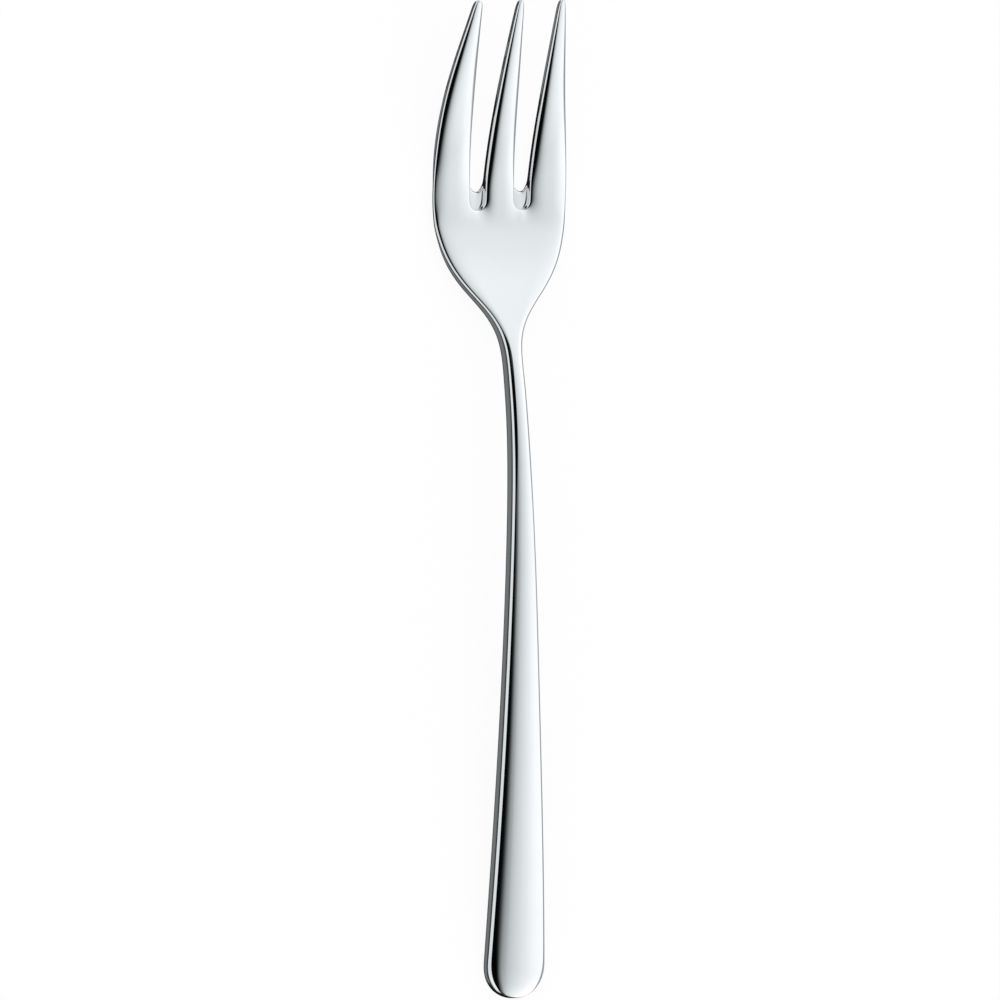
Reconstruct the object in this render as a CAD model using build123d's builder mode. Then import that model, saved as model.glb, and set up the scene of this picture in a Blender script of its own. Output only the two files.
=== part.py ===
"""Three-tined pastry fork, struck from one blank of stainless steel.

X runs across the fork, +Y towards the tines and +Z up. The fork lies on its back, on the belly of the bowl
and the end of the handle, and the origin is on the table under the middle of its length. Sizes are in
millimetres.
"""
import os

from build123d import *

# Lengths along the fork
HANDLE_LENGTH = 96.0          # end of the handle to the narrowest place of the neck
SHOULDER_LENGTH = 31.5        # narrowest place of the neck to the widest place of the bowl
TINE_LENGTH = 29.5            # widest place of the bowl to the tips

# Places between, as shares of those lengths
LOWER_HANDLE_SHARE = 0.23
UPPER_HANDLE_SHARE = 0.75
ARCH_SHARE = 0.83             # highest place of the handle
LOWER_SHOULDER_SHARE = 0.36
SHOULDER_SHARE = 0.52
UPPER_SHOULDER_SHARE = 0.7
BELLY_SHARE = 0.84            # place of the bowl that touches the table
ROOT_SHARE = 0.22
TINE_MID_SHARE = 0.54

# Widths of the outline
HANDLE_WIDTH = 10.0           # at the round end
HANDLE_TAPER = 2.5            # degrees, at the round end
HANDLE_MID_WIDTH = 6.1        # half way along the handle
UPPER_HANDLE_WIDTH = 4.25     # three quarters along the handle
NECK_WIDTH = 2.95
LOWER_SHOULDER_WIDTH = 6.5
SHOULDER_WIDTH = 14.8         # half way along the shoulder
UPPER_SHOULDER_WIDTH = 20.85
BOWL_WIDTH = 22.95

# Tines and the slots between them
TIP_WIDTH = 1.15
TIP_SPACING = 7.1             # middle of one tip to the middle of the next
TINE_REACH = 9.65             # middle of the fork to the right tine's outer edge, half way up the tine
CUTTING_TINE_EXTRA = 1.0      # how much wider the left tine is there, as the one that cuts
CUTTING_TIP_EXTRA = 0.33      # and at its tip
SLOT_SPACING = 3.8            # middle of the fork to the middle of a slot's root
SLOT_WIDTH = 2.6              # at the root
SLOT_DEPTH = 29.7             # tips to the root
MIDDLE_TINE_SWELL = 0.2       # bulge of the middle tine's sides
STEP_LENGTH = 2.9             # stretch of each root that is let into the front only
STEP_WIDTH = 2.4
STEP_DEPTH = 1.2              # below the front, half way along the step
STEP_SLOPE = 10.0             # degrees, rise of the step's floor towards the handle

# Side view: height of the back above the table
LOWER_HANDLE_RISE = 2.55
HANDLE_RISE = 4.9             # half way along the handle
ARCH_RISE = 6.2
NECK_RISE = 5.0
SHOULDER_RISE = 1.45
ROOT_RISE = 1.8
TINE_RISE = 5.1               # half way up the tines
TIP_RISE = 10.8

# Thickness in the middle of the fork
END_THICKNESS = 2.85
LOWER_HANDLE_THICKNESS = 3.05
HANDLE_THICKNESS = 2.85
NECK_THICKNESS = 2.75
SHOULDER_THICKNESS = 2.3
BOWL_THICKNESS = 1.85
TINE_THICKNESS = 1.6
TIP_THICKNESS = 1.15

# Section across the fork
CROWN_RADIUS = 20.0           # front of the handle, rounded across
DISH_RADIUS = 400.0           # bowl, hollowed across: nearly flat
FRONT_ROUND = 0.3             # edge of the front, all the way round
BACK_ROUND = 0.3              # edge of the back, all the way round

# Places along the fork
LENGTH = HANDLE_LENGTH + SHOULDER_LENGTH + TINE_LENGTH
END_Y = -LENGTH / 2
TIP_Y = LENGTH / 2
NECK_Y = END_Y + HANDLE_LENGTH
BOWL_Y = NECK_Y + SHOULDER_LENGTH
LOWER_HANDLE_Y = END_Y + LOWER_HANDLE_SHARE * HANDLE_LENGTH
HANDLE_MID_Y = END_Y + HANDLE_LENGTH / 2
UPPER_HANDLE_Y = END_Y + UPPER_HANDLE_SHARE * HANDLE_LENGTH
ARCH_Y = END_Y + ARCH_SHARE * HANDLE_LENGTH
LOWER_SHOULDER_Y = NECK_Y + LOWER_SHOULDER_SHARE * SHOULDER_LENGTH
SHOULDER_Y = NECK_Y + SHOULDER_SHARE * SHOULDER_LENGTH
UPPER_SHOULDER_Y = NECK_Y + UPPER_SHOULDER_SHARE * SHOULDER_LENGTH
BELLY_Y = NECK_Y + BELLY_SHARE * SHOULDER_LENGTH
ROOT_Y = BOWL_Y + ROOT_SHARE * TINE_LENGTH
TINE_MID_Y = BOWL_Y + TINE_MID_SHARE * TINE_LENGTH
SLOT_Y = TIP_Y - SLOT_DEPTH

# The pressed strip: how far it runs past the outline, how far the cuts reach, and its number of sections
STRIP_MARGIN = 2.0
STRIP_REACH = BOWL_WIDTH / 2 + STRIP_MARGIN
CUT_HEIGHT = 60.0
SECTIONS = 24

# Roundings of the outline
END_RADIUS = HANDLE_WIDTH / 2
TIP_RADIUS = TIP_WIDTH / 2
SLOT_RADIUS = SLOT_WIDTH / 2

# Side view of the strip: place along the fork, height of the back and thickness
STATIONS = (
    (END_Y, 0.0, END_THICKNESS),
    (LOWER_HANDLE_Y, LOWER_HANDLE_RISE, LOWER_HANDLE_THICKNESS),
    (HANDLE_MID_Y, HANDLE_RISE, HANDLE_THICKNESS),
    (ARCH_Y, ARCH_RISE, (HANDLE_THICKNESS + NECK_THICKNESS) / 2),
    (NECK_Y, NECK_RISE, NECK_THICKNESS),
    (SHOULDER_Y, SHOULDER_RISE, SHOULDER_THICKNESS),
    (BELLY_Y, 0.0, BOWL_THICKNESS),
    (ROOT_Y, ROOT_RISE, (BOWL_THICKNESS + TINE_THICKNESS) / 2),
    (TINE_MID_Y, TINE_RISE, TINE_THICKNESS),
    (TIP_Y, TIP_RISE, TIP_THICKNESS),
)


def blend(place, start, end):
    """0 before `start`, 1 after `end`, and a smooth change between."""
    share = min(max((place - start) / (end - start), 0.0), 1.0)
    return share * share * (3.0 - 2.0 * share)


def curvature(place, crown):
    """Curvature across the fork: a crown along the handle and the bowl's dish."""
    bowl = blend(place, NECK_Y, BELLY_Y) * (1.0 - blend(place, BELLY_Y, TIP_Y))
    return bowl / DISH_RADIUS - crown * (1.0 - blend(place, NECK_Y, SHOULDER_Y))


with BuildLine(Plane.YZ) as back_line:
    back_curve = Spline([(y, rise) for y, rise, thickness in STATIONS])
    Line(back_curve @ 0, back_curve @ 0 - back_curve % 0 * STRIP_MARGIN)
    Line(back_curve @ 1, back_curve @ 1 + back_curve % 1 * STRIP_MARGIN)

with BuildLine(Plane.YZ) as front_line:
    front_curve = Spline([(y, rise + thickness) for y, rise, thickness in STATIONS])
    Line(front_curve @ 0, front_curve @ 0 - front_curve % 0 * STRIP_MARGIN)
    Line(front_curve @ 1, front_curve @ 1 + front_curve % 1 * STRIP_MARGIN)

with BuildPart() as fork:
    # The outline, blanked out of sheet, one half after the other
    with BuildSketch(Plane.XY.offset(-CUT_HEIGHT / 2)):
        for side, extra, tip_extra in ((1, 0.0, 0.0), (-1, CUTTING_TINE_EXTRA, CUTTING_TIP_EXTRA)):
            tip_base = TIP_Y - TIP_RADIUS - tip_extra / 2
            with BuildLine():
                end = CenterArc((0, END_Y + END_RADIUS), END_RADIUS, -90, side * (90 + HANDLE_TAPER))
                handle = Spline(
                    end @ 1,
                    (side * HANDLE_MID_WIDTH / 2, HANDLE_MID_Y),
                    (side * UPPER_HANDLE_WIDTH / 2, UPPER_HANDLE_Y),
                    (side * NECK_WIDTH / 2, NECK_Y),
                    tangents=(end % 1, (0, 1)),
                )
                shoulder = Spline(
                    handle @ 1,
                    (side * LOWER_SHOULDER_WIDTH / 2, LOWER_SHOULDER_Y),
                    (side * SHOULDER_WIDTH / 2, SHOULDER_Y),
                    (side * UPPER_SHOULDER_WIDTH / 2, UPPER_SHOULDER_Y),
                    (side * BOWL_WIDTH / 2, BOWL_Y),
                    tangents=((0, 1), (0, 1)),
                )
                outer_edge = Spline(
                    shoulder @ 1,
                    (side * (TINE_REACH + extra), TINE_MID_Y),
                    (side * (TIP_SPACING + TIP_RADIUS + tip_extra), tip_base),
                    tangents=((0, 1), (side * (TIP_SPACING - TINE_REACH), TIP_Y - TINE_MID_Y)),
                )
                tip = TangentArc(
                    outer_edge @ 1, (side * (TIP_SPACING - TIP_RADIUS), tip_base), tangent=outer_edge % 1
                )
                inner_edge = Line(tip @ 1, (side * (SLOT_SPACING + SLOT_RADIUS), SLOT_Y + SLOT_RADIUS))
                root = TangentArc(
                    inner_edge @ 1,
                    (side * (SLOT_SPACING - SLOT_RADIUS), SLOT_Y + SLOT_RADIUS),
                    tangent=inner_edge % 1,
                )
                middle_edge = SagittaArc(
                    root @ 1, (side * TIP_RADIUS, TIP_Y - TIP_RADIUS), -side * MIDDLE_TINE_SWELL
                )
                middle_tip = TangentArc((0, TIP_Y), middle_edge @ 1, tangent=(side, 0))
                Line(middle_tip @ 0, end @ 0)
            make_face()
    extrude(amount=CUT_HEIGHT)

    # The front and the back: rolled to thickness, pressed to their S-curve, crowned and dished
    for line, crown, depth in ((front_line, 1 / CROWN_RADIUS, -CUT_HEIGHT), (back_line, 0.0, CUT_HEIGHT)):
        for section in range(SECTIONS + 1):
            middle = line.wire() @ (section / SECTIONS)
            rim = curvature(middle.Y, crown) * STRIP_REACH * STRIP_REACH / 2
            with BuildSketch(Plane.XZ.offset(-middle.Y)):
                with BuildLine():
                    across = Bezier(
                        (-STRIP_REACH, middle.Z + rim), (0, middle.Z - rim), (STRIP_REACH, middle.Z + rim)
                    )
                    Polyline(across @ 1, (STRIP_REACH, depth), (-STRIP_REACH, depth), across @ 0)
                make_face()
        loft(mode=Mode.INTERSECT)

    # The edges, rounded all the way along the front and the back
    back, front = fork.faces().sort_by(SortBy.AREA)[-2:].sort_by(Axis.Z)
    fillet(front.edges(), FRONT_ROUND)
    fillet(back.edges(), BACK_ROUND)

    # The stepped slot roots, let into the front only
    step_y = SLOT_Y - STEP_LENGTH / 2
    step_top = front_curve.intersect(Axis((0, step_y, 0), (0, 0, 1)))[0].Z
    step_floor = Plane((0, step_y, step_top - STEP_DEPTH)).rotated((-STEP_SLOPE, 0, 0))
    with BuildSketch(step_floor):
        with Locations((-SLOT_SPACING, SLOT_WIDTH / 2), (SLOT_SPACING, SLOT_WIDTH / 2)):
            SlotOverall(STEP_LENGTH + SLOT_WIDTH, STEP_WIDTH, rotation=90)
    extrude(amount=CUT_HEIGHT, mode=Mode.SUBTRACT)

fork.part.label = "fork"
os.makedirs("parts", exist_ok=True)
export_step(fork.part, "parts/fork.step")
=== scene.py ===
"""Pastry fork in mirror-polished stainless steel, lying on a white studio floor.

The fork is modelled as it is made: a flat blank with its tines is pressed to its curve, and its edges are
rounded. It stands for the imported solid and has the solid's outline and side view. The crown, the falls along
its edges, the ground cutting edge and the roundings are finer than the solid's. Lengths are in metres, and +Y
runs to the tines.
"""

import math

import bmesh
import bpy
import numpy as np
from mathutils import Matrix, Vector


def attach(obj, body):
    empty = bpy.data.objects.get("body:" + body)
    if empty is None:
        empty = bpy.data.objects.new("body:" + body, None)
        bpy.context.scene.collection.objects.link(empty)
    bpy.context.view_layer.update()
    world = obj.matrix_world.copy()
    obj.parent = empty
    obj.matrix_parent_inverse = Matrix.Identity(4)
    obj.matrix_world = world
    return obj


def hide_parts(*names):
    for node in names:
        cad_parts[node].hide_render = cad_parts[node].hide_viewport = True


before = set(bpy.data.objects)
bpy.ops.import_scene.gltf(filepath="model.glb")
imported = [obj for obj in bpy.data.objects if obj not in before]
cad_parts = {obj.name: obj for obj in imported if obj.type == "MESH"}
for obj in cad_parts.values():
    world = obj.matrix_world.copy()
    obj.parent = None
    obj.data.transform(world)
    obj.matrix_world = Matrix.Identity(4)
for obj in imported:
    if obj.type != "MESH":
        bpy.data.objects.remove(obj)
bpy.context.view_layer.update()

bl_info = {
    "name": "Pastry fork",
    "version": (1, 0, 0),
    "blender": (4, 5, 0),
    "location": "View3D > Sidebar > Pastry fork",
    "description": "Models a one-piece pastry fork of polished steel and its studio stage",
    "category": "Object",
}

MM = 0.001
CLOSE = 0.01 * MM

# Places along the fork, as shares of the handle, the shoulder and the tines
LOWER_HANDLE_SHARE, UPPER_HANDLE_SHARE, ARCH_SHARE = 0.23, 0.75, 0.83
LOWER_SHOULDER_SHARE, SHOULDER_SHARE, UPPER_SHOULDER_SHARE, BELLY_SHARE = 0.36, 0.52, 0.7, 0.84
ROOT_SHARE, TINE_MID_SHARE = 0.22, 0.54

# Half the width half way and three quarters along the handle, then low, half way and high on the shoulder
HANDLE_HALVES = 3.05 * MM, 2.125 * MM
SHOULDER_HALVES = 3.25 * MM, 7.4 * MM, 10.425 * MM
HANDLE_TAPER = math.radians(2.5)
CUTTING_TIP_SHARE = 1 / 3
SLOT_SPACING, SLOT_RADIUS, MIDDLE_SWELL = 3.8 * MM, 1.3 * MM, 0.2 * MM

# Side view from the handle's end to the tips: height of the back and thickness of the metal, in millimetres
SIDE_VIEW = (
    (0.0, 2.85), (2.55, 3.05), (4.9, 2.85), (6.2, 2.8), (5.0, 2.75),
    (1.45, 2.3), (0.0, 1.85), (1.8, 1.725), (5.1, 1.6), (10.69, 1.15),
)

# Crown of the handle: how much steeper it gets half way along, how round it is at the end, where it fades out
CROWN_GROWTH, CROWN_END_SHARE = 0.08, 0.35
CROWN_FADE = -1 * MM, 11 * MM

# Falls along the edges, and the stretches in which they set in or change, from the neck, root, step or end
BOWL_FALL, TINE_FALL, SLOT_FALL = (1 * MM, 11 * MM), (0.0, 6 * MM), (-1 * MM, 1 * MM)
NECK_FALL_SHARE, NECK_FALL_START, NECK_FALL_END = 0.65, 4 * MM, 2 * MM
FALL_LIMIT = 0.42
POCKET_EASE, POCKET_FALL = 0.35, (-0.5 * MM, 2 * MM)
END_FALL_DEPTH, END_FALL = 0.06, (2 * MM, 10 * MM)

# Ground cutting edge: width of the strip, and where it starts, from the neck, and ends, from the root
GRIND_WIDTH = 2.5 * MM
GRIND_START, GRIND_END = (16 * MM, 25 * MM), (0.0, 7 * MM)

# Roundings of the edges: finer on the end, the pockets, the ground edge and the tips
END_ROUND_POWER, END_FINENESS, END_REACH = 1.5, 0.28 * MM, 8 * MM
POCKET_ROUND, GRIND_FINENESS = 0.07 * MM, 0.14 * MM
TIP_EDGE, EDGE_GROWTH = 0.1 * MM, 0.0032

# Shares of the widest rounding for the lip of a slot's root and for the other edges of its step
LIP_WEIGHT, STEP_WEIGHT, LIP_SPAN = 0.7, 0.12, 0.3 * MM
FULL_BULGE = 2 * MM

# Columns of the flat blank as shares of half its width: edges and middles of what becomes tines and slots
TINE_SHARE, SLOT_SHARE, SLOT_EDGE_SHARE = 0.218, 0.331, 0.4445
SLOT_QUARTERS = (TINE_SHARE + SLOT_SHARE) / 2, (SLOT_SHARE + SLOT_EDGE_SHARE) / 2
COLUMN_SHARES = (
    0.109, TINE_SHARE, SLOT_QUARTERS[0], SLOT_SHARE, SLOT_QUARTERS[1], SLOT_EDGE_SHARE,
    0.583, 0.722, 0.861, 1.0,
)
COLUMNS = 2 * len(COLUMN_SHARES)
SLOT_MARGIN = 0.2 * MM

# Half the blank's width while its columns are laid out: so wide that the moved ones clear those still to move
SPREAD = 5.0

# Rows of the round end: distance from the end, bow towards it, and gap between edge and inner columns
END_ROWS = [
    (row * MM, bow * MM, gap * MM)
    for row, bow, gap in (
        (6.3, 0.15, 0.55), (5, 0.35, 0.6), (3.6, 0.6, 0.7), (2.5, 0.95, 0.85), (1.464, 1.464, 0.8),
    )
]

# Rows of handle and bowl, and of the tines, by their distance from the handle's end
BODY_ROWS = [
    row * MM
    for row in (
        8, 13, 21, 31, 42, 53, 63, 72, 80, 87, 92.5,
        97, 100.5, 103, 105.2, 107.4, 109.6, 112, 114.6, 117.6, 121,
    )
]
TINE_ROWS = [row * MM for row in (129.4, 131.8, 135.2, 139, 143.4, 147.8, 151.8, 154.6, 156.2)]
STEP_CLEAR = 2.6 * MM

# Gaps of the body's rows: at the neck, what the handle's end adds, what the bowl adds, and of the next column
NECK_GAP, END_GAP, BOWL_GAP, BOWL_GAP_LAG = 0.45 * MM, 0.1 * MM, 0.35 * MM, 6 * MM
INNER_GAP_RATIO = 1.9

# Round tips: their rise, how narrow their last row is, and the rise's share at its quarters
TIP_ROUND, TIP_RATIO, TIP_QUARTER_SHARE = 0.17 * MM, 0.62, 0.75

# Round roots: shares of the dip at left quarter, middle and right quarter, for step, half way and root
ROOT_BOW, ROOT_DIP = 1.0 * MM, 1.3 * MM
ROOT_DIPS = (0.52, 0.6, 0.52), (0.6, 0.8, 0.72), (0.64, 0.98, 0.92)

# Levels of the flat blank before it is pressed: its front, the step's floor and its back
FRONT, FLOOR, BACK = 0.0, -1.0 * MM, -2.0 * MM

# A face whose normal leans up or down by more than this belongs to the front, a floor or the back
LEVEL_FACE = 0.5
BEVEL_SEGMENTS = 2
SMOOTH_LEVELS = 2


class ForkSizes(bpy.types.PropertyGroup):
    """Sizes of the fork."""

    handle_length: bpy.props.FloatProperty(
        name="Handle length",
        description="Handle's end to the narrowest place of the neck",
        default=96.0 * MM,
        unit="LENGTH",
    )
    shoulder_length: bpy.props.FloatProperty(
        name="Shoulder length",
        description="Neck to the widest place of the bowl",
        default=31.5 * MM,
        unit="LENGTH",
    )
    tine_length: bpy.props.FloatProperty(
        name="Tine length",
        description="Widest place of the bowl to the tips",
        default=29.5 * MM,
        unit="LENGTH",
    )
    handle_width: bpy.props.FloatProperty(
        name="Handle width",
        description="Width at the round end",
        default=10.0 * MM,
        unit="LENGTH",
    )
    neck_width: bpy.props.FloatProperty(
        name="Neck width",
        description="Width at the narrowest place",
        default=2.95 * MM,
        unit="LENGTH",
    )
    bowl_width: bpy.props.FloatProperty(
        name="Bowl width",
        description="Width at the widest place",
        default=22.95 * MM,
        unit="LENGTH",
    )
    tip_width: bpy.props.FloatProperty(
        name="Tip width",
        description="Width of each tine's tip",
        default=1.15 * MM,
        unit="LENGTH",
    )
    tip_spacing: bpy.props.FloatProperty(
        name="Tip spacing",
        description="Middle of one tip to the middle of the next",
        default=7.1 * MM,
        unit="LENGTH",
    )
    tine_reach: bpy.props.FloatProperty(
        name="Tine reach",
        description="Middle of the fork to the right tine's outer edge, half way up",
        default=9.65 * MM,
        unit="LENGTH",
    )
    cutting_extra: bpy.props.FloatProperty(
        name="Cutting tine",
        description="How much broader the left tine is half way up",
        default=1.0 * MM,
        unit="LENGTH",
    )
    slot_depth: bpy.props.FloatProperty(
        name="Slot depth",
        description="Tips to the root of a slot",
        default=29.7 * MM,
        unit="LENGTH",
    )
    step_length: bpy.props.FloatProperty(
        name="Step length",
        description="Stretch of each root let into the front only",
        default=3.35 * MM,
        unit="LENGTH",
    )
    floor_share: bpy.props.FloatProperty(
        name="Step depth",
        description="Depth of the step as a share of the thickness",
        default=0.62,
        subtype="FACTOR",
    )
    crown_slope: bpy.props.FloatProperty(
        name="Handle crown",
        description="Slope of the handle's front at its edges",
        default=math.radians(18.0),
        subtype="ANGLE",
    )
    dish_radius: bpy.props.FloatProperty(
        name="Bowl dish",
        description="Radius of the bowl's hollow, across",
        default=400.0 * MM,
        unit="LENGTH",
    )
    fall_slope: bpy.props.FloatProperty(
        name="Edge fall",
        description="Slope of the bowl's and the tines' front at their edges",
        default=math.radians(25.0),
        subtype="ANGLE",
    )
    bowl_fall_width: bpy.props.FloatProperty(
        name="Bowl fall width",
        description="Width of the strip that falls to the bowl's edge",
        default=1.4 * MM,
        unit="LENGTH",
    )
    tine_fall_width: bpy.props.FloatProperty(
        name="Tine fall width",
        description="Width of the strip that falls to a tine's edge",
        default=1.8 * MM,
        unit="LENGTH",
    )
    end_fall_width: bpy.props.FloatProperty(
        name="End fall width",
        description="Width of the strip that falls to the handle's end",
        default=1.7 * MM,
        unit="LENGTH",
    )
    side_bulge: bpy.props.FloatProperty(
        name="Side bulge",
        description="How far the sides swell between front and back",
        default=0.09 * MM,
        unit="LENGTH",
    )
    cutting_grind: bpy.props.FloatProperty(
        name="Cutting edge",
        description="How much thinner the bowl's left edge is ground, from the back",
        default=0.85 * MM,
        unit="LENGTH",
    )
    edge_round: bpy.props.FloatProperty(
        name="Edge rounding",
        description="Rounding of the edges",
        default=0.24 * MM,
        unit="LENGTH",
    )
    end_round: bpy.props.FloatProperty(
        name="Handle rounding",
        description="Widest rounding of the front edge, low on the handle",
        default=0.42 * MM,
        unit="LENGTH",
    )


class ForkColours(bpy.types.PropertyGroup):
    """Colours of the steel and the stage."""

    steel: bpy.props.StringProperty(
        name="Steel",
        description="Colour of the polished steel, as hex",
        default="#DEE0E2",
    )
    floor: bpy.props.StringProperty(
        name="Floor",
        description="Colour of the floor, as hex",
        default="#FAFAFA",
    )
    roughness: bpy.props.FloatProperty(
        name="Polish",
        description="Roughness of the polished steel",
        default=0.045,
        subtype="FACTOR",
    )


def smooth_line(stations, start_slope=None, end_slope=None):
    """A cubic spline through pairs of place and value, as a function of the place."""
    places, values = np.array(stations, float).T
    gaps = np.diff(places)
    rises = np.diff(values) / gaps
    last = len(places) - 1
    weights = np.zeros((last + 1, last + 1))
    sums = np.zeros(last + 1)
    for i in range(1, last):
        weights[i, i - 1:i + 2] = 1 / gaps[i - 1], 2 / gaps[i - 1] + 2 / gaps[i], 1 / gaps[i]
        sums[i] = 3 * (rises[i - 1] / gaps[i - 1] + rises[i] / gaps[i])
    for end, inner, rise, slope in ((0, 1, rises[0], start_slope), (last, last - 1, rises[-1], end_slope)):
        weights[end, end] = 2 if slope is None else 1
        weights[end, inner] = 1 if slope is None else 0
        sums[end] = 3 * rise if slope is None else slope
    slopes = np.linalg.solve(weights, sums)

    def value_at(place):
        i = int(np.clip(np.searchsorted(places, place) - 1, 0, last - 1))
        t = (place - places[i]) / gaps[i]
        ends = values[i] * (1 + 2 * t) * (1 - t) ** 2 + values[i + 1] * t * t * (3 - 2 * t)
        turns = slopes[i] * t * (1 - t) ** 2 + slopes[i + 1] * t * t * (t - 1)
        return float(ends + gaps[i] * turns)

    return value_at


def blend(place, start, end):
    """0 before the start, 1 after the end, and a smooth change between."""
    share = min(max((place - start) / (end - start), 0.0), 1.0)
    return share * share * (3.0 - 2.0 * share)


def fall_off(distance, width):
    """Share of a fall at a distance from its edge: 1 at the edge, less inwards, and 0 beyond its width."""
    return max(0.0, 1 - distance / width) ** 2


class ForkLines:
    """Outline and side view of the fork, as functions of the distance from the handle's end."""

    def __init__(self, sizes):
        handle, shoulder, tine = sizes.handle_length, sizes.shoulder_length, sizes.tine_length
        bowl = handle + shoulder
        tine_mid = bowl + TINE_MID_SHARE * tine
        neck_half, bowl_half = sizes.neck_width / 2, sizes.bowl_width / 2
        self.sizes = sizes
        self.length = bowl + tine
        self.neck = handle
        self.shoulder = handle + SHOULDER_SHARE * shoulder
        self.belly = handle + BELLY_SHARE * shoulder
        self.root = self.length - sizes.slot_depth
        self.step = self.root - sizes.step_length
        self.end_radius = sizes.handle_width / 2
        self.tip_radius = sizes.tip_width / 2

        handle_stations = (
            (self.end_radius, self.end_radius),
            (handle / 2, HANDLE_HALVES[0]),
            (UPPER_HANDLE_SHARE * handle, HANDLE_HALVES[1]),
            (handle, neck_half),
        )
        shoulder_stations = (
            (handle, neck_half),
            (handle + LOWER_SHOULDER_SHARE * shoulder, SHOULDER_HALVES[0]),
            (self.shoulder, SHOULDER_HALVES[1]),
            (handle + UPPER_SHOULDER_SHARE * shoulder, SHOULDER_HALVES[2]),
            (bowl, bowl_half),
        )
        self.handle_line = smooth_line(handle_stations, -math.tan(HANDLE_TAPER), 0.0)
        self.shoulder_line = smooth_line(shoulder_stations, 0.0, 0.0)

        tip_slope = (sizes.tip_spacing - sizes.tine_reach) / (self.length - tine_mid)
        self.outer_lines = {}
        for side, extra in ((1, 0.0), (-1, sizes.cutting_extra)):
            tip_reach = sizes.tip_spacing + self.tip_radius + extra * CUTTING_TIP_SHARE
            tine_stations = (
                (bowl, bowl_half),
                (tine_mid, sizes.tine_reach + extra),
                (self.length - self.tip_radius, tip_reach),
            )
            self.outer_lines[side] = smooth_line(tine_stations, 0.0, tip_slope)

        places = (
            0.0, LOWER_HANDLE_SHARE * handle, handle / 2, ARCH_SHARE * handle, handle,
            self.shoulder, self.belly, bowl + ROOT_SHARE * tine, tine_mid, self.length,
        )
        side_view = [(y, back * MM, metal * MM) for y, (back, metal) in zip(places, SIDE_VIEW)]
        self.back_line = smooth_line([(y, back) for y, back, metal in side_view])
        self.front_line = smooth_line([(y, back + metal) for y, back, metal in side_view])

    def half_width(self, y):
        """Half the width of the handle and the bowl."""
        if y < self.end_radius:
            return math.sqrt(self.end_radius ** 2 - (self.end_radius - y) ** 2)
        return self.handle_line(y) if y < self.neck else self.shoulder_line(y)

    def tine_edges(self, tine, y):
        """Left and right edge of the left (-1), middle (0) or right (1) tine."""
        slot_base = self.root + SLOT_RADIUS
        share = (y - slot_base) / (self.length - self.tip_radius - slot_base)
        if tine == 0:
            base = SLOT_SPACING - SLOT_RADIUS
            half = base + (self.tip_radius - base) * share + 4 * MIDDLE_SWELL * share * (1 - share)
            return -half, half
        base = SLOT_SPACING + SLOT_RADIUS
        inner = base + (self.sizes.tip_spacing - self.tip_radius - base) * share
        edges = inner * tine, self.outer_lines[tine](y) * tine
        return min(edges), max(edges)

    def left_reach(self, y):
        """How far the left outer edge is from the middle."""
        return self.half_width(y) if y < self.root else -self.tine_edges(-1, y)[0]

    def right_reach(self, y):
        """How far the right outer edge is from the middle."""
        return self.half_width(y) if y < self.root else self.tine_edges(1, y)[1]

    def ground(self, x, y):
        """How much a place is ground for the cutting edge: 1 on the bowl's left edge and 0 further in."""
        inward = max(0.0, 1 - (x + self.left_reach(y)) / GRIND_WIDTH) if x < 0 else 0.0
        return inward * blend(y - self.neck, *GRIND_START) * (1 - blend(y - self.root, *GRIND_END))

    def fall(self, x, y):
        """How far the front falls towards the nearby edges of the bowl, the tines and the handle's end."""
        sizes = self.sizes
        tine = 0 if abs(x) < SLOT_SPACING else int(math.copysign(1, x))
        left, right = self.tine_edges(tine, max(y, self.root))

        widening = blend(y, self.neck + NECK_FALL_START, self.shoulder + NECK_FALL_END)
        width = sizes.bowl_fall_width * (NECK_FALL_SHARE + (1 - NECK_FALL_SHARE) * widening)
        width += (sizes.tine_fall_width - sizes.bowl_fall_width) * blend(y - self.root, *TINE_FALL)
        width = min(width, FALL_LIMIT * (right - left))

        ease = 1 - POCKET_EASE * (1 - blend(y - self.root, *POCKET_FALL))
        left_fall = fall_off(max(x - left, 0.0), width) if tine >= 0 else 0.0
        right_fall = ease * fall_off(max(right - x, 0.0), width) if tine <= 0 else 0.0
        outer = self.half_width(max(y, self.end_radius))
        if y > self.root:
            outer = abs(left if tine < 0 else right)
        rim = outer - abs(x) if tine or y < self.root else width
        falls = blend(y - self.step, *SLOT_FALL) * max(left_fall, right_fall)
        falls += blend(y - self.neck, *BOWL_FALL) * fall_off(rim, width)

        from_end = self.end_radius - math.hypot(x, max(0.0, self.end_radius - y))
        end_fall = END_FALL_DEPTH * sizes.end_fall_width * fall_off(from_end, sizes.end_fall_width)
        return math.tan(sizes.fall_slope) * width / 2 * falls + (1 - blend(y, *END_FALL)) * end_fall

    def height(self, x, y, level):
        """Height of the pressed fork at a place, for a level of the flat blank."""
        sizes = self.sizes
        bowl = blend(y, self.neck, self.belly) * (1 - blend(y, self.belly, self.length))
        dish = bowl * x * x / (2 * sizes.dish_radius)
        past_centre = max(0.0, self.end_radius - y)
        reach = self.half_width(min(max(y, self.end_radius), self.root))
        slope = math.tan(sizes.crown_slope * (1 + CROWN_GROWTH * blend(y, self.end_radius, self.neck / 2)))
        crown = (x * x + CROWN_END_SHARE * past_centre * past_centre) / (2 * reach) * slope
        crown *= 1 - blend(y - self.neck, *CROWN_FADE)
        front = self.front_line(y) + dish - crown - self.fall(x, y)
        back = self.back_line(y) + dish + sizes.cutting_grind * self.ground(x, y)
        if level > (FRONT + FLOOR) / 2:
            return front
        return front + (back - front) * sizes.floor_share if level > (FLOOR + BACK) / 2 else back

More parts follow.
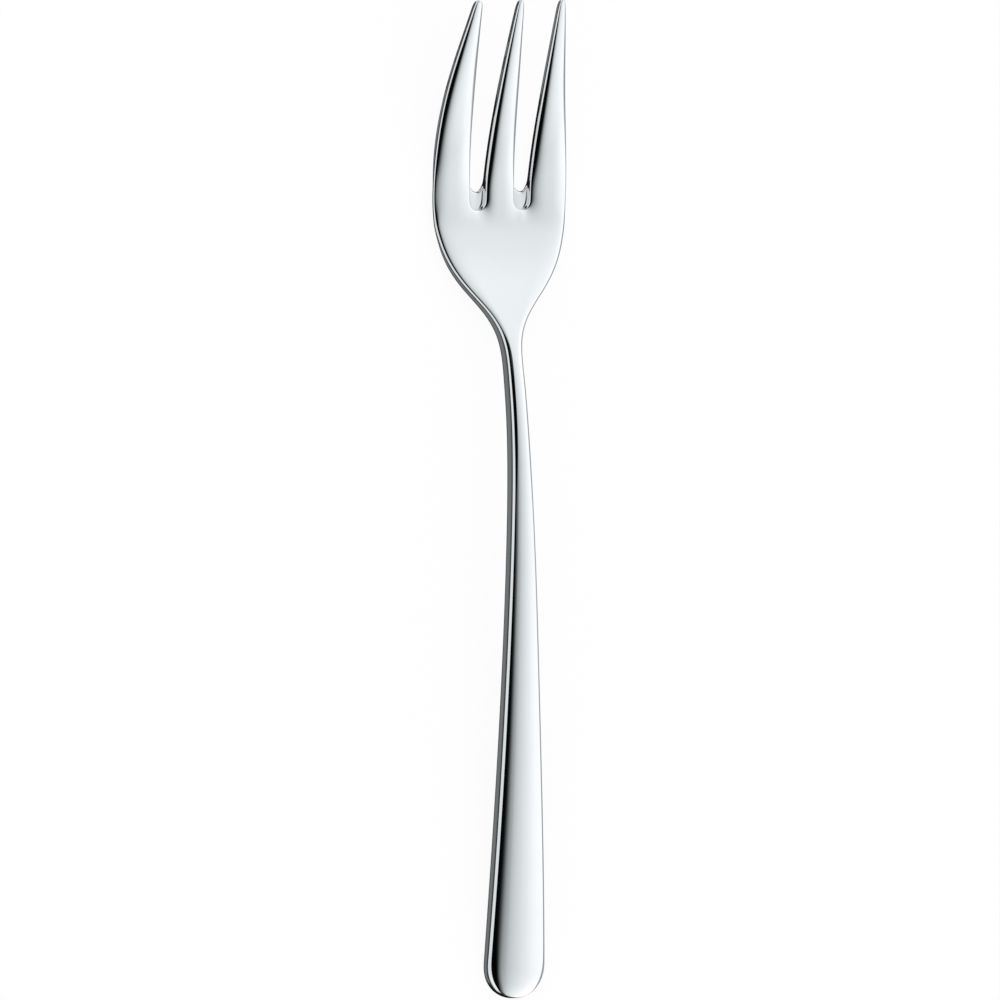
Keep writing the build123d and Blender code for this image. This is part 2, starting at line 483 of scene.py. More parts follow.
    def beside_pocket(self, x, y):
        """Whether a place is on the left edge of the pocket that the step makes at a slot's root."""
        half_width = self.half_width(y)
        off_edge = min(abs(x + SLOT_EDGE_SHARE * half_width), abs(x - TINE_SHARE * half_width))
        return self.step < y - ROOT_BOW < self.root and off_edge < SLOT_MARGIN

    def edge_round(self, x, y, level):
        """Rounding of an edge: broad low on the handle, fine at its end, pockets, cutting edge and tips."""
        sizes = self.sizes
        rounding = sizes.edge_round
        if level > (FRONT + FLOOR) / 2:
            rounding += (sizes.end_round - sizes.edge_round) * max(0.0, 1 - y / self.neck) ** END_ROUND_POWER
            rounding -= END_FINENESS * blend(self.end_radius + END_REACH / 2 - y, 0.0, END_REACH)
            if self.beside_pocket(x, y):
                rounding = POCKET_ROUND
        rounding -= GRIND_FINENESS * self.ground(x, y)
        return min(rounding, TIP_EDGE + EDGE_GROWTH * max(self.length - y, 0.0))


def select_verts(test):
    """Selects the vertices, in edit mode, whose place passes a test, and the edges and faces between them."""
    mesh = bmesh.from_edit_mesh(bpy.context.edit_object.data)
    for part in (*mesh.faces, *mesh.edges, *mesh.verts):
        part.select = False
    for vert in mesh.verts:
        vert.select = test(vert.co)
    mesh.select_mode = {"VERT"}
    mesh.select_flush_mode()
    bmesh.update_edit_mesh(bpy.context.edit_object.data)


def select_row(y, test=lambda x: True):
    """Selects the vertices of one row of the blank whose place across passes a test."""
    select_verts(lambda co: abs(co.y - y) < CLOSE and test(co.x))


def scale_across(ratio, centre=0.0):
    """Scales what is selected across the fork, about a place of its own."""
    bpy.ops.transform.resize(value=(ratio, 1.0, 1.0), center_override=(centre, 0.0, 0.0))


def move_along(shift):
    """Moves what is selected along the fork."""
    bpy.ops.transform.translate(value=(0.0, shift, 0.0))


def extrude_row(rise, ratio, sideways=0.0, centre=0.0):
    """Extrudes the selected row of the blank along the fork and scales the new row across."""
    bpy.ops.mesh.extrude_region_move(TRANSFORM_OT_translate={"value": (sideways, rise, 0.0)})
    scale_across(ratio, centre)


def squeeze_row(lines, y, gap):
    """Draws a row's inner columns together, clear of the rounding of its edges by a gap."""
    half_width = lines.half_width(y)
    outer, inner = COLUMN_SHARES[-2] * half_width, COLUMN_SHARES[-3] * half_width
    select_row(y, lambda x: abs(abs(x) - outer) < CLOSE)
    scale_across((half_width - gap) / outer)
    ratio = min(1.0, (half_width - INNER_GAP_RATIO * gap) / inner)
    if ratio < 1.0:
        select_row(y, lambda x: abs(x) < inner + CLOSE)
        scale_across(ratio)


def bow_row(lines, y, bow):
    """Bows a row of the blank towards the handle's end, round as the end is and most in its middle."""
    radius = lines.end_radius
    base = math.sqrt(max(0.0, radius ** 2 - lines.half_width(y) ** 2))
    mesh = bmesh.from_edit_mesh(bpy.context.edit_object.data)
    reaches = sorted({round(abs(vert.co.x), 7) for vert in mesh.verts if abs(vert.co.y - y) < CLOSE})
    for reach in reaches[:-1]:
        select_row(y, lambda x: abs(abs(x) - reach) < CLOSE / 5)
        share = (math.sqrt(radius ** 2 - reach ** 2) - base) / (radius - base)
        move_along(-bow * share)


def slot_columns(co, lines):
    """Whether a place of the flat blank is in the columns of a slot, edges included."""
    half_width = lines.half_width(lines.root)
    return TINE_SHARE * half_width - SLOT_MARGIN < abs(co.x) < SLOT_EDGE_SHARE * half_width + SLOT_MARGIN


def draw_tine(lines, tine, root):
    """Draws one tine out of its columns at the root's row, row by row, and rounds its tip."""
    root_width = lines.half_width(root)
    inner, outer = SLOT_EDGE_SHARE * root_width - CLOSE, TINE_SHARE * root_width + CLOSE
    select_row(root, lambda x: x * tine > inner if tine else abs(x) < outer)
    left, right = sorted((inner * tine, root_width * tine)) if tine else (-outer, outer)
    start = root
    for row in TINE_ROWS:
        new_left, new_right = lines.tine_edges(tine, row)
        sideways = (new_left + new_right - left - right) / 2
        ratio = (new_right - new_left) / (right - left)
        extrude_row(row - start, ratio, sideways, (new_left + new_right) / 2)
        left, right, start = new_left, new_right, row
    tip, middle = lines.length - TIP_ROUND, (left + right) / 2
    extrude_row(tip - start, TIP_RATIO, 0.0, middle)
    quarter = TIP_RATIO * (right - left) / 4
    for reach, rise in ((0.0, TIP_ROUND), (quarter, TIP_QUARTER_SHARE * TIP_ROUND)):
        select_row(tip, lambda x: abs(abs(x - middle) - reach) < CLOSE)
        move_along(rise)


def dip_roots(lines, rows):
    """Dips the slots' rows towards the handle, a little lopsided, so that step and root are round."""
    for row, dips in zip(rows, ROOT_DIPS):
        for side in (-1, 1):
            shares = (SLOT_QUARTERS[0], SLOT_SHARE, SLOT_QUARTERS[1])[::side]
            for share, dip in zip(shares, dips):
                place = side * share * lines.half_width(row)
                select_row(row, lambda x: abs(x - place) < CLOSE)
                move_along(-dip * ROOT_DIP)


def blank_out(lines):
    """Lays out the flat blank from a grid, row by row, and returns the rows of the step and the root."""
    bpy.ops.object.select_all(action="DESELECT")
    bpy.ops.mesh.primitive_grid_add(x_subdivisions=COLUMNS, y_subdivisions=1, size=1.0, enter_editmode=True)
    for column, share in enumerate(COLUMN_SHARES, start=1):
        even = column / COLUMNS
        select_verts(lambda co: abs(abs(co.x) - even) < CLOSE)
        scale_across(SPREAD * share / even)
    first, second = BODY_ROWS[:2]
    width = lines.half_width(first)
    bpy.ops.mesh.select_all(action="SELECT")
    bpy.ops.transform.resize(value=(width / SPREAD, second - first, 1.0), center_override=(0.0, 0.0, 0.0))
    move_along((first + second) / 2)
    select_row(second)
    scale_across(lines.half_width(second) / width)

    step, root = lines.step + ROOT_BOW, lines.root + ROOT_BOW
    slot_rows = step, (step + root) / 2, root
    above = (*BODY_ROWS[2:], step - STEP_CLEAR, *slot_rows)
    below = [row for row, bow, gap in END_ROWS]
    for start, rows in ((second, above), (first, below)):
        select_row(start)
        for row in rows:
            extrude_row(row - start, lines.half_width(row) / lines.half_width(start))
            start = row

    for row in (*BODY_ROWS, step - STEP_CLEAR):
        gap = NECK_GAP + END_GAP * max(0.0, 1 - row / lines.neck)
        gap += BOWL_GAP * blend(row, lines.neck + BOWL_GAP_LAG, lines.shoulder + BOWL_GAP_LAG)
        squeeze_row(lines, row, gap)
    for row, bow, gap in END_ROWS:
        squeeze_row(lines, row, gap)
        bow_row(lines, row, bow)
    for tine in (-1, 0, 1):
        draw_tine(lines, tine, root)
    dip_roots(lines, slot_rows)
    return step, root


def thicken(lines, step, root):
    """Gives the blank its thickness in two levels and lets the steps into the front at the slots' roots."""
    bpy.ops.mesh.select_all(action="SELECT")
    for _ in range(2):
        bpy.ops.mesh.extrude_region_move(TRANSFORM_OT_translate={"value": (0.0, 0.0, FLOOR)})
    low, high = step - ROOT_DIP - CLOSE, root + CLOSE
    select_verts(lambda co: co.z > -CLOSE and low < co.y < high and slot_columns(co, lines))
    bpy.ops.mesh.extrude_region_move(TRANSFORM_OT_translate={"value": (0.0, 0.0, FLOOR)})
    bpy.ops.mesh.select_all(action="SELECT")
    bpy.ops.mesh.remove_doubles(threshold=CLOSE / 10)

    # The wall that closed each step towards its slot goes, so that the step opens into the slot
    low = root - ROOT_DIP - CLOSE
    select_verts(lambda co: co.z > FLOOR - CLOSE and low < co.y < high and slot_columns(co, lines))
    mesh = bmesh.from_edit_mesh(bpy.context.edit_object.data)
    for face in mesh.faces:
        face.select = face.select and abs(face.normal.z) < LEVEL_FACE
    bmesh.update_edit_mesh(bpy.context.edit_object.data)
    bpy.ops.mesh.select_mode(type="FACE")
    bpy.ops.mesh.delete(type="ONLY_FACE")
    bpy.ops.mesh.select_mode(type="VERT")
    bpy.ops.mesh.select_all(action="SELECT")
    bpy.ops.mesh.delete_loose(use_verts=True, use_edges=True, use_faces=False)
    bpy.ops.mesh.select_all(action="SELECT")
    bpy.ops.mesh.normals_make_consistent(inside=False)


def press(lines):
    """Marks how far each edge is rounded, then presses the flat blank to its curve."""
    mesh = bmesh.from_edit_mesh(bpy.context.edit_object.data)
    layers = mesh.edges.layers.float
    weights = layers.get("bevel_weight_edge") or layers.new("bevel_weight_edge")
    for edge in mesh.edges:
        level = [abs(face.normal.z) > LEVEL_FACE for face in edge.link_faces]
        if len(level) == 2 and level[0] != level[1]:
            start, end = (vert.co for vert in edge.verts)
            middle = (start + end) / 2
            if middle.z > -CLOSE or middle.z < BACK + CLOSE:
                edge[weights] = lines.edge_round(*middle) / lines.sizes.end_round
            else:
                beyond = middle.y > lines.root + ROOT_BOW - ROOT_DIP - CLOSE
                lip = beyond and abs(start.x - end.x) > LIP_SPAN
                edge[weights] = LIP_WEIGHT if lip else STEP_WEIGHT
    swells = {}
    for vert in mesh.verts:
        sides = [face.normal for face in vert.link_faces if abs(face.normal.z) < LEVEL_FACE]
        rim = vert.co.z > -CLOSE or vert.co.z < BACK + CLOSE
        if sides and rim:
            x, y, _ = vert.co
            thickness = lines.height(x, y, FRONT) - lines.height(x, y, BACK)
            swell = lines.sizes.side_bulge * min(1.0, thickness / FULL_BULGE)
            swells[vert] = sum(sides, Vector()).normalized() * swell
    for vert in mesh.verts:
        vert.co.z = lines.height(*vert.co)
        vert.co -= swells.get(vert, Vector())
        vert.co.y -= lines.length / 2
    bmesh.update_edit_mesh(bpy.context.edit_object.data)


def round_edges(fork, lines):
    """Rounds the marked edges and smooths the fork."""
    bevel = fork.modifiers.new("Edges", "BEVEL")
    bevel.limit_method = "WEIGHT"
    bevel.width = lines.sizes.end_round
    bevel.segments = BEVEL_SEGMENTS
    bevel.use_clamp_overlap = False
    bpy.ops.object.modifier_apply(modifier=bevel.name)
    smooth = fork.modifiers.new("Smooth", "SUBSURF")
    smooth.levels = smooth.render_levels = SMOOTH_LEVELS
    bpy.ops.object.modifier_apply(modifier=smooth.name)
    bpy.ops.object.shade_smooth()


def linear(code):
    """An sRGB hex colour as linear RGBA."""
    parts = [int(code[i:i + 2], 16) / 255 for i in (1, 3, 5)]
    return (*(part / 12.92 if part <= 0.04045 else ((part + 0.055) / 1.055) ** 2.4 for part in parts), 1.0)


def add_node(tree, kind, inputs, **settings):
    """Adds a shader node with its settings, and its inputs by name or number: values or outputs to link."""
    node = tree.nodes.new(kind)
    for name, value in settings.items():
        setattr(node, name, value)
    for socket, value in inputs.items():
        if isinstance(value, bpy.types.NodeSocket):
            tree.links.new(value, node.inputs[socket])
        else:
            node.inputs[socket].default_value = value
    return node


def new_material(name):
    """A material with an empty tree."""
    material = bpy.data.materials.new(name)
    material.use_nodes = True
    material.node_tree.nodes.clear()
    return material, material.node_tree


# Polishing marks, drawn some hundredths of a millimetre wide, as coarse as they need to be to show as haze
MARK_WIDTH, MARK_LENGTH = MM / 18.0, MM / 0.12
MARK_STRENGTH, MARK_DEPTH = 0.02, 0.01 * MM

# Patches some millimetres wide that handling has dulled: range of their roughness and of their colour
PATCH_WIDTH = MM / 0.16
PATCH_DULLING, PATCH_SHADE = (0.6, 1.4), 0.97

# Sockets of a Mix node for colours, which share their names with those for other kinds of data
MIX_FIRST, MIX_SECOND, MIX_RESULT = 6, 7, 2


def polished_steel(colours):
    """Stainless steel, ground lengthwise and mirror-polished: a clear reflection with the faintest haze."""
    material, tree = new_material("mirror_polished_stainless_steel")
    place = add_node(tree, "ShaderNodeTexCoord", {}).outputs["Object"]

    # The marks run along the fork
    stretch = 1 / MARK_WIDTH, 1 / MARK_LENGTH, 1 / MARK_WIDTH
    along = add_node(tree, "ShaderNodeMapping", {"Vector": place, "Scale": stretch})
    marks = add_node(
        tree, "ShaderNodeTexNoise", {"Vector": along.outputs["Vector"], "Scale": 1.0, "Detail": 2.0}
    )
    relief = add_node(
        tree,
        "ShaderNodeBump",
        {"Strength": MARK_STRENGTH, "Distance": MARK_DEPTH, "Height": marks.outputs["Fac"]},
    )

    # Polish and colour shift by a hair between the patches
    patches = add_node(tree, "ShaderNodeTexNoise", {"Vector": place, "Scale": 1 / PATCH_WIDTH, "Detail": 3.0})
    finest, dullest = (colours.roughness * share for share in PATCH_DULLING)
    dulling = add_node(
        tree, "ShaderNodeMapRange", {"Value": patches.outputs["Fac"], "To Min": finest, "To Max": dullest}
    )
    bright = linear(colours.steel)
    dimmed = (*(channel * PATCH_SHADE for channel in bright[:3]), 1.0)
    shade = add_node(
        tree,
        "ShaderNodeMix",
        {"Factor": patches.outputs["Fac"], MIX_FIRST: bright, MIX_SECOND: dimmed},
        data_type="RGBA",
    )

    steel = add_node(
        tree,
        "ShaderNodeBsdfPrincipled",
        {
            "Metallic": 1.0,
            "Base Color": shade.outputs[MIX_RESULT],
            "Roughness": dulling.outputs["Result"],
            "Normal": relief.outputs["Normal"],
        },
    )
    add_node(tree, "ShaderNodeOutputMaterial", {"Surface": steel.outputs["BSDF"]})
    return material


class FORK_OT_fork(bpy.types.Operator):
    """Model the fork: blank it out, give it thickness, press it to its curve and round its edges"""

    bl_idname = "pastry_fork.fork"
    bl_label = "Fork"

    def execute(self, context):
        lines = ForkLines(context.scene.fork_sizes)
        step, root = blank_out(lines)
        thicken(lines, step, root)
        press(lines)
        bpy.ops.object.mode_set(mode="OBJECT")
        fork = context.object
        fork.name = fork.data.name = "polished_fork"
        round_edges(fork, lines)
        fork.data.materials.append(polished_steel(context.scene.fork_colours))
        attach(fork, "root")
        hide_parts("fork")
        return {"FINISHED"}


# Floor: its size, the width and depth of its grain, and how much of it the camera sees as plain white
FLOOR_SIZE = 6.0
GRAIN_WIDTH, GRAIN_STRENGTH, GRAIN_DEPTH = 2 * MM, 0.05, 0.02 * MM
FLOOR_WHITE = 0.93


def floor_material(colours):
    """Matt white acrylic: the camera and the steel see it nearly white, with the fork's soft shadow on it."""
    material, tree = new_material("matt_white_acrylic")
    place = add_node(tree, "ShaderNodeTexCoord", {}).outputs["Object"]
    grain = add_node(tree, "ShaderNodeTexNoise", {"Vector": place, "Scale": 1 / GRAIN_WIDTH, "Detail": 2.0})
    relief = add_node(
        tree,
        "ShaderNodeBump",
        {"Strength": GRAIN_STRENGTH, "Distance": GRAIN_DEPTH, "Height": grain.outputs["Fac"]},
    )
    matt = add_node(
        tree, "ShaderNodeBsdfDiffuse", {"Color": linear(colours.floor), "Normal": relief.outputs["Normal"]}
    )
    glow = add_node(tree, "ShaderNodeEmission", {"Strength": 1.0})

    # Where it is seen, straight or in the steel, most of it is even white, and the rest takes the shadow
    rays = add_node(tree, "ShaderNodeLightPath", {}).outputs
    seen = rays["Is Camera Ray"]
    for ray in ("Is Glossy Ray", "Is Transmission Ray"):
        seen = add_node(tree, "ShaderNodeMath", {0: seen, 1: rays[ray]}, operation="MAXIMUM").outputs[0]
    white = add_node(tree, "ShaderNodeMath", {0: seen, 1: FLOOR_WHITE}, operation="MULTIPLY")
    both = add_node(
        tree,
        "ShaderNodeMixShader",
        {0: white.outputs[0], 1: matt.outputs["BSDF"], 2: glow.outputs["Emission"]},
    )
    add_node(tree, "ShaderNodeOutputMaterial", {"Surface": both.outputs["Shader"]})
    return material


# Share of its red that a grey of the stage's ramps loses as it darkens, for a cool tint
COOL_TINT = 0.08


def set_greys(ramp, stops):
    """Sets the greys of a colour ramp, cooler as they darken, from pairs of place and brightness."""
    start, end = stops[0][0], stops[-1][0]
    shares = [(place - start) / (end - start) for place, _ in stops]
    for share in shares[1:-1]:
        ramp.elements.new(share)
    for element, share, (_, value) in zip(ramp.elements, shares, stops):
        element.position = share
        element.color = (value * (1 - COOL_TINT * (1 - value)), value, value, 1.0)


# Tent over the floor, and its brightness by the angle from straight up, in degrees to the left
TENT_RADIUS, TENT_LENGTH, TENT_SIDES = 0.6, 6.0, 128
TENT_STRENGTH = 1.72
TENT_RAMP = (
    (-90, 0.25), (-68, 0.3), (-62, 1.0), (-57, 0.975), (-48, 0.945), (-42, 0.9),
    (-36, 0.84), (-30, 0.78), (-24, 0.71), (-18, 0.635), (-12, 0.55), (-9, 0.488),
    (-6, 0.41), (-3.4, 0.317), (-2.1, 0.262), (-0.5, 0.178), (0.8, 0.12), (2, 0.067),
    (3.1, 0.03), (4, 0.01), (5.2, 0.0015), (19, 0.0015), (23, 0.7), (90, 0.72),
)

# Its brightness along the fork, in metres towards the tines: dark beyond both ends
TENT_ALONG = (
    (-1.5, 0.02), (-1.3, 0.02), (-1.0, 1.0), (-0.5, 1.0), (-0.25, 0.79), (-0.15, 0.82),
    (0.05, 0.8), (0.5, 1.0), (1.0, 1.0), (1.3, 0.02), (1.5, 0.02),
)


def tent_material():
    """Tent of white cloth with a dark opening overhead, where the camera stands: what the steel reflects."""
    material, tree = new_material("white_tent_cloth")
    place = add_node(tree, "ShaderNodeTexCoord", {}).outputs["Object"]
    axes = add_node(tree, "ShaderNodeSeparateXYZ", {"Vector": place}).outputs

    # Around the fork
    leftward = add_node(tree, "ShaderNodeMath", {0: axes["X"], 1: -1.0}, operation="MULTIPLY")
    angle = add_node(tree, "ShaderNodeMath", {0: leftward.outputs[0], 1: axes["Z"]}, operation="ARCTAN2")
    lowest, highest = math.radians(TENT_RAMP[0][0]), math.radians(TENT_RAMP[-1][0])
    turn = add_node(
        tree, "ShaderNodeMapRange", {"Value": angle.outputs[0], "From Min": lowest, "From Max": highest}
    )
    around = add_node(tree, "ShaderNodeValToRGB", {"Fac": turn.outputs["Result"]})
    set_greys(around.color_ramp, TENT_RAMP)

    # Along the fork
    start, end = TENT_ALONG[0][0], TENT_ALONG[-1][0]
    ahead = add_node(tree, "ShaderNodeMapRange", {"Value": axes["Y"], "From Min": start, "From Max": end})
    along = add_node(tree, "ShaderNodeValToRGB", {"Fac": ahead.outputs["Result"]})
    set_greys(along.color_ramp, TENT_ALONG)
    strength = add_node(
        tree, "ShaderNodeMath", {0: along.outputs["Color"], 1: TENT_STRENGTH}, operation="MULTIPLY"
    )

    glow = add_node(
        tree, "ShaderNodeEmission", {"Color": around.outputs["Color"], "Strength": strength.outputs[0]}
    )
    add_node(tree, "ShaderNodeOutputMaterial", {"Surface": glow.outputs["Emission"]})
    return material


# Brightness of the painted shadow left of the fork, a banded grey card in place of its shadow that only the
# steel sees, from its far side to the fork's edge
SHADOW_RAMP = ((0.0, 0.06), (0.58, 0.06), (0.7, 0.225), (0.82, 0.225), (0.9, 0.13), (1.0, 0.11))


def painted_shadow_material():
    """Painted shadow: a grey card along the fork's left side in place of its shadow there, seen in the steel
    as the banded grey reflection on that side.
    """
    material, tree = new_material("painted_shadow_grey")
    place = add_node(tree, "ShaderNodeUVMap", {}).outputs["UV"]
    axes = add_node(tree, "ShaderNodeSeparateXYZ", {"Vector": place}).outputs
    bands = add_node(tree, "ShaderNodeValToRGB", {"Fac": axes["X"]})
    set_greys(bands.color_ramp, SHADOW_RAMP)
    glow = add_node(tree, "ShaderNodeEmission", {"Color": bands.outputs["Color"], "Strength": 1.0})
    add_node(tree, "ShaderNodeOutputMaterial", {"Surface": glow.outputs["Emission"]})
    return material


def shade_material(name, brightness):
    """Plain grey that glows evenly, for the sheets under and beside the fork that only the steel sees: as
    black, painted shade under it and in its slots and a dark wedge beyond its end; as grey, the dark card at
    its right. They draw the dark lines along its edges.
    """
    material, tree = new_material(name)
    grey = brightness, brightness, brightness, 1.0
    glow = add_node(tree, "ShaderNodeEmission", {"Color": grey, "Strength": 1.0})
    add_node(tree, "ShaderNodeOutputMaterial", {"Surface": glow.outputs["Emission"]})
    return material


def reflected_only(piece):
    """Leaves a piece of the stage to be seen in the steel only."""
    piece.visible_camera = False
    piece.visible_diffuse = False
    piece.visible_transmission = False
    piece.visible_volume_scatter = False
    piece.visible_shadow = False


def light_world(scene):
    """Lights the stage evenly with a white world."""
    world = bpy.data.worlds.new("white_studio")
    world.use_nodes = True
    scene.world = world
    sky = next(node for node in world.node_tree.nodes if node.type == "BACKGROUND")
    sky.inputs["Color"].default_value = (1.0, 1.0, 1.0, 1.0)
    sky.inputs["Strength"].default_value = 1.0


def lay_floor(colours):
    """Lays the white floor."""
    bpy.ops.mesh.primitive_plane_add(size=FLOOR_SIZE)
    floor = bpy.context.object
    floor.name = "studio_floor"
    floor.data.materials.append(floor_material(colours))


def raise_tent():
    """Raises the tent: the upper half of a tube along the fork, closed at its ends."""
    bpy.ops.mesh.primitive_cylinder_add(
        vertices=TENT_SIDES,
        radius=TENT_RADIUS,
        depth=TENT_LENGTH,
        end_fill_type="NGON",
        rotation=(math.pi / 2, 0.0, 0.0),
    )
    tent = bpy.context.object
    tent.name = "light_tent"
    bpy.ops.object.transform_apply(location=False, rotation=True, scale=False)
    bpy.ops.object.mode_set(mode="EDIT")
    bpy.ops.mesh.select_all(action="SELECT")
    bpy.ops.mesh.bisect(plane_co=(0.0, 0.0, 0.0), plane_no=(0.0, 0.0, 1.0), clear_inner=True)
    bpy.ops.object.mode_set(mode="OBJECT")
    tent.data.materials.append(tent_material())
    reflected_only(tent)


# Painted shade in the fork's outline: an even black sheet under it that only the steel sees, in place of its
# own shadow. Its brightness, level, shift of it to the handle's end and of its slots to the tines
SHADE_BRIGHTNESS, SHADE_LEVEL = 0.012, 0.04 * MM
SHADE_SHIFT, SHADE_SLOT_SHIFT = 1.0 * MM, 2.5 * MM


def lay_painted_shade(lines, painted_shade):
    """Lays painted shade under the fork: an even black sheet in the outline of handle and bowl, in place of
    its shadow.
    """
    _, root = blank_out(lines)
    select_verts(lambda co: co.y > root + CLOSE)
    bpy.ops.mesh.delete(type="VERT")
    select_verts(lambda co: co.y > root - ROOT_DIP - CLOSE and slot_columns(co, lines))
    move_along(SHADE_SLOT_SHIFT)
    bpy.ops.mesh.select_all(action="SELECT")
    bpy.ops.transform.translate(value=(0.0, -lines.length / 2 - SHADE_SHIFT, SHADE_LEVEL))
    bpy.ops.object.mode_set(mode="OBJECT")
    piece = bpy.context.object
    piece.name = "painted_black_shade"
    piece.data.materials.append(painted_shade)
    reflected_only(piece)


# Cards and strips on the floor, of painted shadow, painted shade and plain grey: levels, cuts along them, and
# brightness and width of the dark card
CARD_LEVEL, STRIP_LEVEL, CARD_CUTS = 0.02 * MM, 0.03 * MM, 80
DARK_BRIGHTNESS, DARK_WIDTH = 0.34, 60 * MM

# Reach of the painted shadow at the left, as a multiple of the metal's height, and how far the cards go on
# beyond the tips
SHADOW_REACH, CARD_BEYOND = 2.0, 6.0 * MM

# Painted shadow and strips of painted shade beside the tines: where they start, end and change their width,
# from the root
TINE_SHADOW_SPAN = 6 * MM, 18 * MM
SLOT_SHADE_START, SLOT_SHADE_SPAN, SLOT_SHADE_SHARE = -1 * MM, (8 * MM, 22 * MM), 0.5

# Dark wedge beyond the handle's end, in the same even black and seen in the steel only: its start and end
# along the fork, then place and slant of its two sides
END_STRIP_SPAN = -40 * MM, 1 * MM
END_STRIP_RIGHT, END_STRIP_LEFT = (1.3 * MM, -0.9), (-2.7 * MM, 0.2)


def lay_card(lines, name, span, near, far, material, level=CARD_LEVEL):
    """Lays a card on the floor along the fork, between two lines that are functions of the place along it."""
    start, end = span
    bpy.ops.mesh.primitive_grid_add(x_subdivisions=1, y_subdivisions=CARD_CUTS, size=1.0, enter_editmode=True)
    card = bpy.context.object
    card.name = name
    mesh = bmesh.from_edit_mesh(card.data)
    for vert in mesh.verts:
        y = start + (vert.co.y + 0.5) * (end - start)
        vert.co = Vector((far(y) if vert.co.x < 0 else near(y), y - lines.length / 2, level))
    bmesh.update_edit_mesh(card.data)
    bpy.ops.object.mode_set(mode="OBJECT")
    card.data.materials.append(material)
    reflected_only(card)


def lay_cards(lines, painted_shade):
    """Lays the sheets that draw the grey and dark lines along the fork's walls: painted shadow left of it and
    beside the tines, strips of painted shade in the slots, a dark wedge beyond its end and a dark card at its
    right.
    """
    painted_shadow, dark = painted_shadow_material(), shade_material("dark_card", DARK_BRIGHTNESS)
    beyond = lines.length + CARD_BEYOND

    def wall(y):
        return (lines.back_line(y) + lines.front_line(y)) / 2 * SHADOW_REACH

    def left_near(y):
        return -lines.left_reach(y)

    # Painted shadow along the fork's left side
    lay_card(lines, "left_painted_shadow", (0.0, beyond), left_near, lambda y: left_near(y) - wall(y), painted_shadow)
    for tine in (0, 1):

        def tine_near(y):
            return lines.tine_edges(tine, y)[0]

        def shadow_far(y):
            return tine_near(y) - wall(y) * blend(y - lines.root, *TINE_SHADOW_SPAN)

        def shade_far(y):
            return tine_near(y) - wall(y) * SLOT_SHADE_SHARE * (1 - blend(y - lines.root, *SLOT_SHADE_SPAN))

        shadow_span = lines.root + TINE_SHADOW_SPAN[0], beyond
        shade_span = lines.root + SLOT_SHADE_START, lines.root + SLOT_SHADE_SPAN[1]
        # Painted shadow beside each tine's left edge, and a strip of painted shade in the slot near its root
        lay_card(lines, f"tine_painted_shadow_{tine}", shadow_span, tine_near, shadow_far, painted_shadow)
        lay_card(lines, f"slot_painted_shade_{tine}", shade_span, tine_near, shade_far, painted_shade, STRIP_LEVEL)

    def end_right(y):
        return END_STRIP_RIGHT[0] + END_STRIP_RIGHT[1] * y

    def end_left(y):
        return END_STRIP_LEFT[0] + END_STRIP_LEFT[1] * y

    def right_far(y):
        return lines.right_reach(y) + DARK_WIDTH

    # A dark wedge beyond the handle's end, and a dark card at the right
    lay_card(lines, "end_dark_strip", END_STRIP_SPAN, end_right, end_left, painted_shade, STRIP_LEVEL)
    lay_card(lines, "right_card", (0.0, beyond), lines.right_reach, right_far, dark)


# Camera: it looks down from the fork's left, leans a little, and stands far off with a long lens
CAMERA_TILT, CAMERA_ROLL = math.radians(24.0), math.radians(1.07)
CAMERA_LENS, CAMERA_SENSOR, CAMERA_CLIP = 1000.0, 36.0, 0.01
CAMERA_AIM = -0.18 * MM, 0.0, 0.0
VIEW_WIDTH = 157.49 * MM


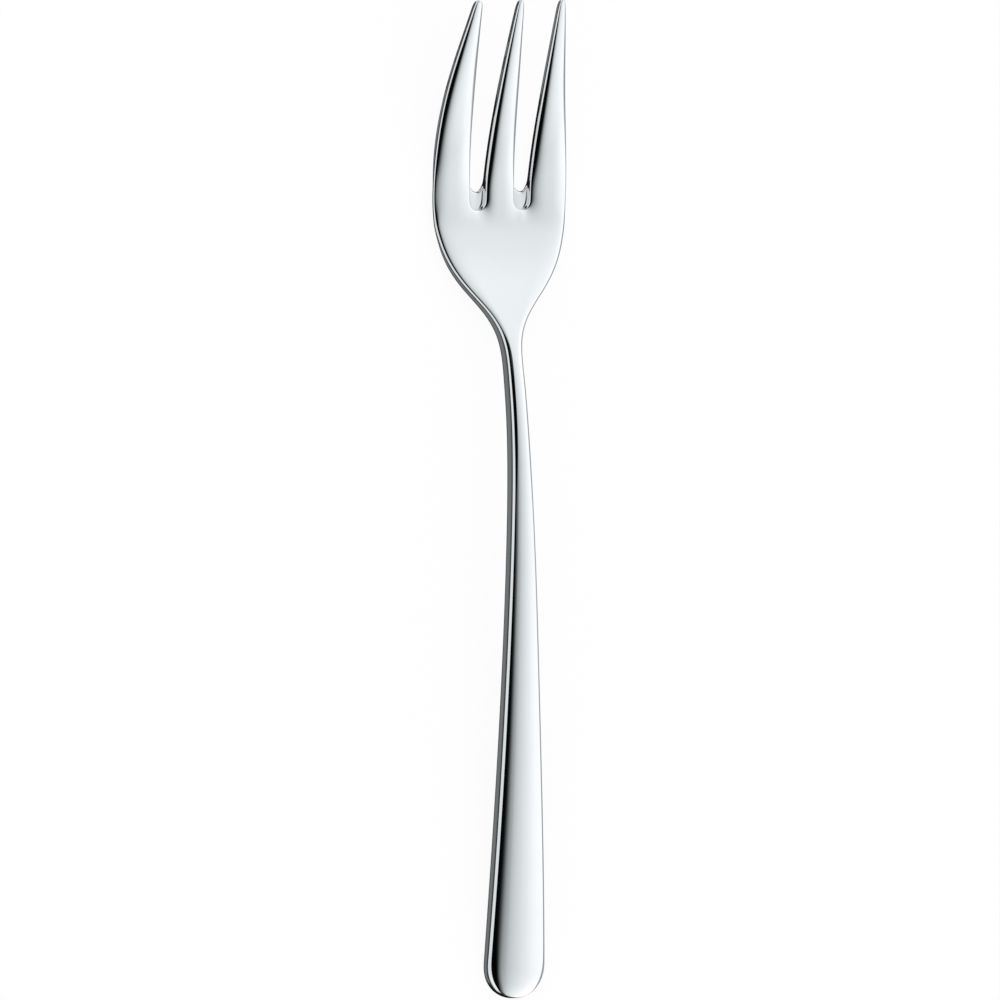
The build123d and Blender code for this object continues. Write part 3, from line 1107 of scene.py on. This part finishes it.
def aim_camera(scene):
    """Sets the camera up at the viewing angle."""
    across = Vector((math.cos(CAMERA_TILT), 0.0, math.sin(CAMERA_TILT)))
    along = Vector((0.0, 1.0, 0.0))
    right = math.cos(CAMERA_ROLL) * across - math.sin(CAMERA_ROLL) * along
    up = math.sin(CAMERA_ROLL) * across + math.cos(CAMERA_ROLL) * along
    back = right.cross(up)
    stand = Vector(CAMERA_AIM) + back * (VIEW_WIDTH * CAMERA_LENS / CAMERA_SENSOR)
    bpy.ops.object.camera_add()
    camera = bpy.context.object
    camera.name = "studio_camera"
    camera.matrix_world = Matrix.Translation(stand) @ Matrix((right, up, back)).transposed().to_4x4()
    camera.data.lens = CAMERA_LENS
    camera.data.sensor_width = CAMERA_SENSOR
    camera.data.clip_start = CAMERA_CLIP
    camera.data.dof.use_dof = False
    scene.camera = camera


class FORK_OT_stage(bpy.types.Operator):
    """Set the stage: soft light, floor, tent, painted shade and shadow, dark cards and camera"""

    bl_idname = "pastry_fork.stage"
    bl_label = "Stage"

    def execute(self, context):
        lines = ForkLines(context.scene.fork_sizes)
        # Even black for the painted shade under and beside the fork
        painted_shade = shade_material("painted_black_shade", SHADE_BRIGHTNESS)
        light_world(context.scene)
        lay_floor(context.scene.fork_colours)
        raise_tent()
        lay_painted_shade(lines, painted_shade)
        lay_cards(lines, painted_shade)
        aim_camera(context.scene)
        context.scene.view_settings.view_transform = "Standard"
        return {"FINISHED"}


class FORK_PT_panel(bpy.types.Panel):
    """Panel of the pastry fork in the sidebar of the 3D view."""

    bl_idname = "FORK_PT_panel"
    bl_label = "Pastry fork"
    bl_space_type = "VIEW_3D"
    bl_region_type = "UI"
    bl_category = "Pastry fork"

    def draw(self, context):
        for group in (context.scene.fork_sizes, context.scene.fork_colours):
            for name in group.__annotations__:
                self.layout.prop(group, name)
        self.layout.operator(FORK_OT_fork.bl_idname)
        self.layout.operator(FORK_OT_stage.bl_idname)


CLASSES = (ForkSizes, ForkColours, FORK_OT_fork, FORK_OT_stage, FORK_PT_panel)


def register():
    """Registers the add-on's classes and its settings on the scene."""
    for cls in CLASSES:
        bpy.utils.register_class(cls)
    bpy.types.Scene.fork_sizes = bpy.props.PointerProperty(type=ForkSizes)
    bpy.types.Scene.fork_colours = bpy.props.PointerProperty(type=ForkColours)


def unregister():
    """Takes the add-on's classes and settings away again."""
    del bpy.types.Scene.fork_colours
    del bpy.types.Scene.fork_sizes
    for cls in reversed(CLASSES):
        bpy.utils.unregister_class(cls)


def main():
    """Registers the add-on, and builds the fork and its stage."""
    register()
    bpy.ops.pastry_fork.fork()
    bpy.ops.pastry_fork.stage()


if __name__ == "__main__":
    main()
